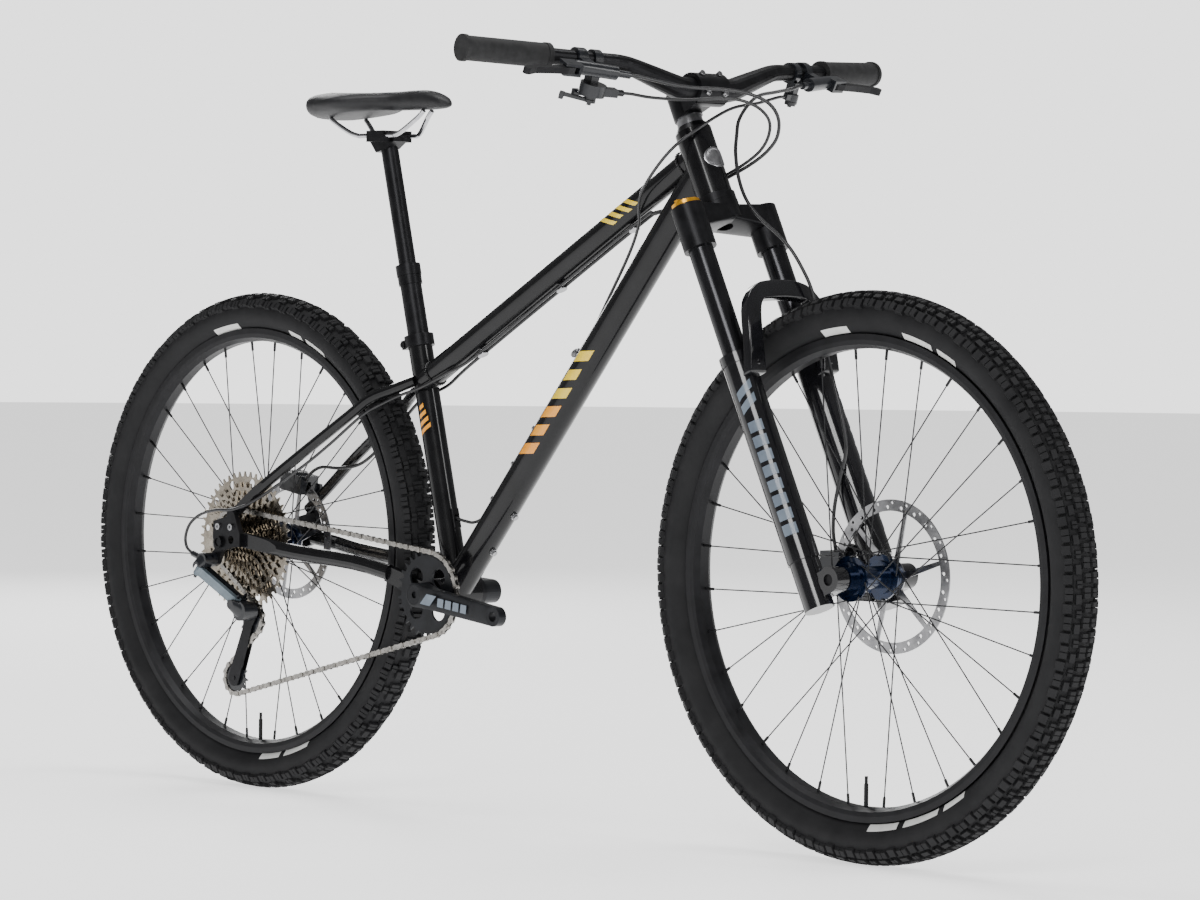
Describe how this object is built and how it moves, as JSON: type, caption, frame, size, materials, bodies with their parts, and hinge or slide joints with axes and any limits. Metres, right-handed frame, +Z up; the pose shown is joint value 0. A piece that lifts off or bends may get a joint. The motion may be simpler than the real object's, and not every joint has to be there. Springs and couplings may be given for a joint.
{
  "type": "hardtail mountain bike",
  "caption": "Hardtail mountain bike with a telescopic fork, dropper seat post, disc brakes, wide bar, single chainring and wide-range rear gears, shown without pedals.",
  "frame": {"origin": "on the ground plane under the middle of the bike: the centre of the bounding box at the lowest point of the tyres", "axes": "+X points forward along the bike, +Y to the rider's left and +Z up; the chain side is on -Y"},
  "size_m": [1.9759, 0.7964, 1.0781],
  "materials": {
    "frame_paint": "gloss black over steel tube",
    "black_alloy": "black anodised",
    "bare_steel": "bright steel",
    "hose_black": "smooth hose jacket",
    "chain_steel": "plated steel",
    "fork_black": "gloss black",
    "stanchion_black": "hard anodised black",
    "silver_alloy": "brushed silver",
    "grip_rubber": "patterned rubber",
    "control_plastic": "moulded black",
    "amber_alloy": "amber anodised",
    "tyre_rubber": "knobbed rubber",
    "rim_black": "bead-blasted black",
    "spoke_black": "black steel",
    "hub_blue": "dark blue anodised",
    "rotor_steel": "ground steel",
    "cassette_steel": "nickel plated",
    "crank_black": "satin black",
    "link_grey": "satin grey",
    "rail_silver": "bright rail",
    "saddle_cover": "matt synthetic leather"
  },
  "bodies": {
    "frame": {"head_tube": "frame_paint", "top_tube": "frame_paint", "down_tube": "frame_paint", "seat_tube": "frame_paint", "bb_shell": "frame_paint", "bearing_cups": "black_alloy", "chainstays": "frame_paint", "seatstays": "frame_paint", "dropouts": "black_alloy", "frame_fasteners": "bare_steel", "seat_clamp": "black_alloy", "rear_axle": "black_alloy", "rear_caliper": "control_plastic", "rear_hose": "hose_black", "shift_housing": "hose_black", "dropper_housing": "hose_black", "dropper_outer": "black_alloy", "chain": "chain_steel"},
    "steering": {"fork_crown": "black_alloy", "stanchions": "stanchion_black", "stem": "black_alloy", "steerer_spacer": "silver_alloy", "handlebar": "black_alloy", "grips": "grip_rubber", "lever_bodies": "control_plastic", "control_bodies": "control_plastic", "front_hose": "hose_black"},
    "fork_slider": {"fork_lowers": "fork_black", "front_axle": "black_alloy", "front_caliper": "control_plastic"},
    "front_wheel": {"front_tyre": "tyre_rubber", "front_rim": "rim_black", "front_spokes": "spoke_black", "front_hub": "hub_blue", "front_rotor": "rotor_steel"},
    "rear_wheel": {"rear_tyre": "tyre_rubber", "rear_rim": "rim_black", "rear_spokes": "spoke_black", "rear_hub": "hub_blue", "rear_rotor": "rotor_steel"},
    "freehub": {"cassette": "cassette_steel"},
    "cranks": {"chainring": "crank_black", "right_crank": "crank_black", "left_crank": "crank_black"},
    "seatpost": {"dropper_post": "black_alloy", "saddle_rails": "rail_silver", "saddle": "saddle_cover"},
    "compression_knob": {"damper_knob": "amber_alloy"},
    "right_lever": {"right_brake_lever": "black_alloy"},
    "left_lever": {"left_brake_lever": "black_alloy"},
    "upshift": {"upshift_paddle": "control_plastic"},
    "downshift": {"downshift_paddle": "control_plastic"},
    "dropper_remote": {"remote_paddle": "control_plastic"},
    "rear_mech_body": {"derailleur_knuckle": "control_plastic"},
    "rear_mech_outer_link": {"derailleur_outer_link": "link_grey"},
    "rear_mech_inner_link": {"derailleur_inner_link": "control_plastic"},
    "rear_mech_lower": {"derailleur_lower_knuckle": "control_plastic"},
    "rear_mech_cage": {"derailleur_cage": "black_alloy"},
    "guide_wheel": {"guide_pulley": "control_plastic"},
    "tension_wheel": {"tension_pulley": "control_plastic"}
  },
  "joints": [
    {"name": "steering", "type": "hinge", "parent": "frame", "child": "steering", "pos_m": [0.30537, 0, 0.91666], "axis": [-0.4305, 0, 0.9026], "range_deg": [-55, 55], "deforming": ["rear_hose", "shift_housing", "dropper_housing"]},
    {"name": "fork_travel", "type": "slide", "parent": "steering", "child": "fork_slider", "axis": [-0.4305, 0, 0.9026], "range_m": [0, 0.15], "stiffness_N_per_m": 9000, "springref_m": -0.02, "deforming": ["front_hose"]},
    {"name": "front_wheel_spin", "type": "hinge", "parent": "fork_slider", "child": "front_wheel", "pos_m": [0.612, 0, 0.376], "axis": [0, 1, 0], "continuous": true},
    {"name": "rear_wheel_spin", "type": "hinge", "parent": "frame", "child": "rear_wheel", "pos_m": [-0.616, 0, 0.372], "axis": [0, 1, 0], "continuous": true},
    {"name": "crank_spin", "type": "hinge", "parent": "frame", "child": "cranks", "pos_m": [-0.188, 0, 0.315], "axis": [0, 1, 0], "continuous": true, "deforming": ["chain"]},
    {"name": "freehub_spin", "type": "hinge", "parent": "frame", "child": "freehub", "pos_m": [-0.616, 0, 0.372], "axis": [0, 1, 0], "continuous": true},
    {"name": "dropper_travel", "type": "slide", "parent": "frame", "child": "seatpost", "axis": [-0.2385, 0, 0.9711], "range_m": [-0.17, 0], "stiffness_N_per_m": 300, "springref_m": 0.3},
    {"name": "compression_dial", "type": "hinge", "parent": "steering", "child": "compression_knob", "pos_m": [0.34143, -0.07, 0.85963], "axis": [-0.4305, 0, 0.9026], "range_deg": [0, 90]},
    {"name": "right_brake", "type": "hinge", "parent": "steering", "child": "right_lever", "pos_m": [0.3073, -0.25708, 1.03754], "axis": [-0.438, 0.0409, -0.898], "range_deg": [0, 18], "stiffness_Nm_per_rad": 0.6, "springref_deg": -14.32},
    {"name": "left_brake", "type": "hinge", "parent": "steering", "child": "left_lever", "pos_m": [0.3073, 0.25708, 1.03754], "axis": [0.438, 0.0409, 0.898], "range_deg": [0, 18], "stiffness_Nm_per_rad": 0.6, "springref_deg": -14.32},
    {"name": "upshift_press", "type": "hinge", "parent": "steering", "child": "upshift", "pos_m": [0.28019, -0.19114, 1.00532], "axis": [0.3434, -0.0223, 0.9389], "range_deg": [0, 12], "stiffness_Nm_per_rad": 0.3, "springref_deg": -14.32},
    {"name": "downshift_press", "type": "hinge", "parent": "steering", "child": "downshift", "pos_m": [0.28019, -0.19114, 1.00532], "axis": [0.3434, -0.0223, 0.9389], "range_deg": [0, 24], "stiffness_Nm_per_rad": 0.3, "springref_deg": -14.32},
    {"name": "dropper_press", "type": "hinge", "parent": "steering", "child": "dropper_remote", "pos_m": [0.28019, 0.19114, 1.00532], "axis": [-0.3434, -0.0223, -0.9389], "range_deg": [0, 24], "stiffness_Nm_per_rad": 0.3, "springref_deg": -14.32},
    {"name": "rear_mech_shift", "type": "hinge", "parent": "rear_mech_body", "child": "rear_mech_outer_link", "pos_m": [-0.64, -0.102, 0.33], "axis": [0.6485, 0, 0.7612], "range_deg": [-16.3, 8], "deforming": ["chain", "shift_housing"]},
    {"name": "rear_mech_swing", "type": "hinge", "parent": "frame", "child": "rear_mech_body", "pos_m": [-0.631, -0.09, 0.345], "axis": [0, 1, 0], "range_deg": [-18.5, 17], "deforming": ["chain", "shift_housing"]},
    {"name": "rear_mech_inner", "type": "hinge", "parent": "rear_mech_body", "child": "rear_mech_inner_link", "pos_m": [-0.64, -0.09, 0.33], "axis": [0.6485, 0, 0.7612], "range_deg": [-17, 16]},
    {"name": "rear_mech_lower_pivot", "type": "hinge", "parent": "rear_mech_outer_link", "child": "rear_mech_lower", "pos_m": [-0.586, -0.075, 0.284], "axis": [0.6485, 0, 0.7612], "range_deg": [-16, 17]},
    {"name": "rear_mech_cage_swing", "type": "hinge", "parent": "rear_mech_lower", "child": "rear_mech_cage", "pos_m": [-0.568, -0.058, 0.271], "axis": [0, 1, 0], "range_deg": [-31, 34], "deforming": ["chain"]},
    {"name": "guide_wheel_spin", "type": "hinge", "parent": "rear_mech_cage", "child": "guide_wheel", "pos_m": [-0.578, -0.05, 0.258], "axis": [0, 1, 0], "continuous": true},
    {"name": "tension_wheel_spin", "type": "hinge", "parent": "rear_mech_cage", "child": "tension_wheel", "pos_m": [-0.614, -0.05, 0.168], "axis": [0, 1, 0], "continuous": true}
  ],
  "couplings": [
    {"joint": "freehub_spin", "follows": "crank_spin", "ratio": 1.25},
    {"joint": "guide_wheel_spin", "follows": "crank_spin", "ratio": -2.5},
    {"joint": "tension_wheel_spin", "follows": "crank_spin", "ratio": 2.5},
    {"joint": "rear_mech_inner", "follows": "rear_mech_shift", "ratio": 1},
    {"joint": "rear_mech_lower_pivot", "follows": "rear_mech_shift", "ratio": -1},
    {"joint": "rear_mech_swing", "follows": "rear_mech_shift", "ratio": 1.1},
    {"joint": "rear_mech_cage_swing", "follows": "rear_mech_shift", "ratio": -2}
  ]
}
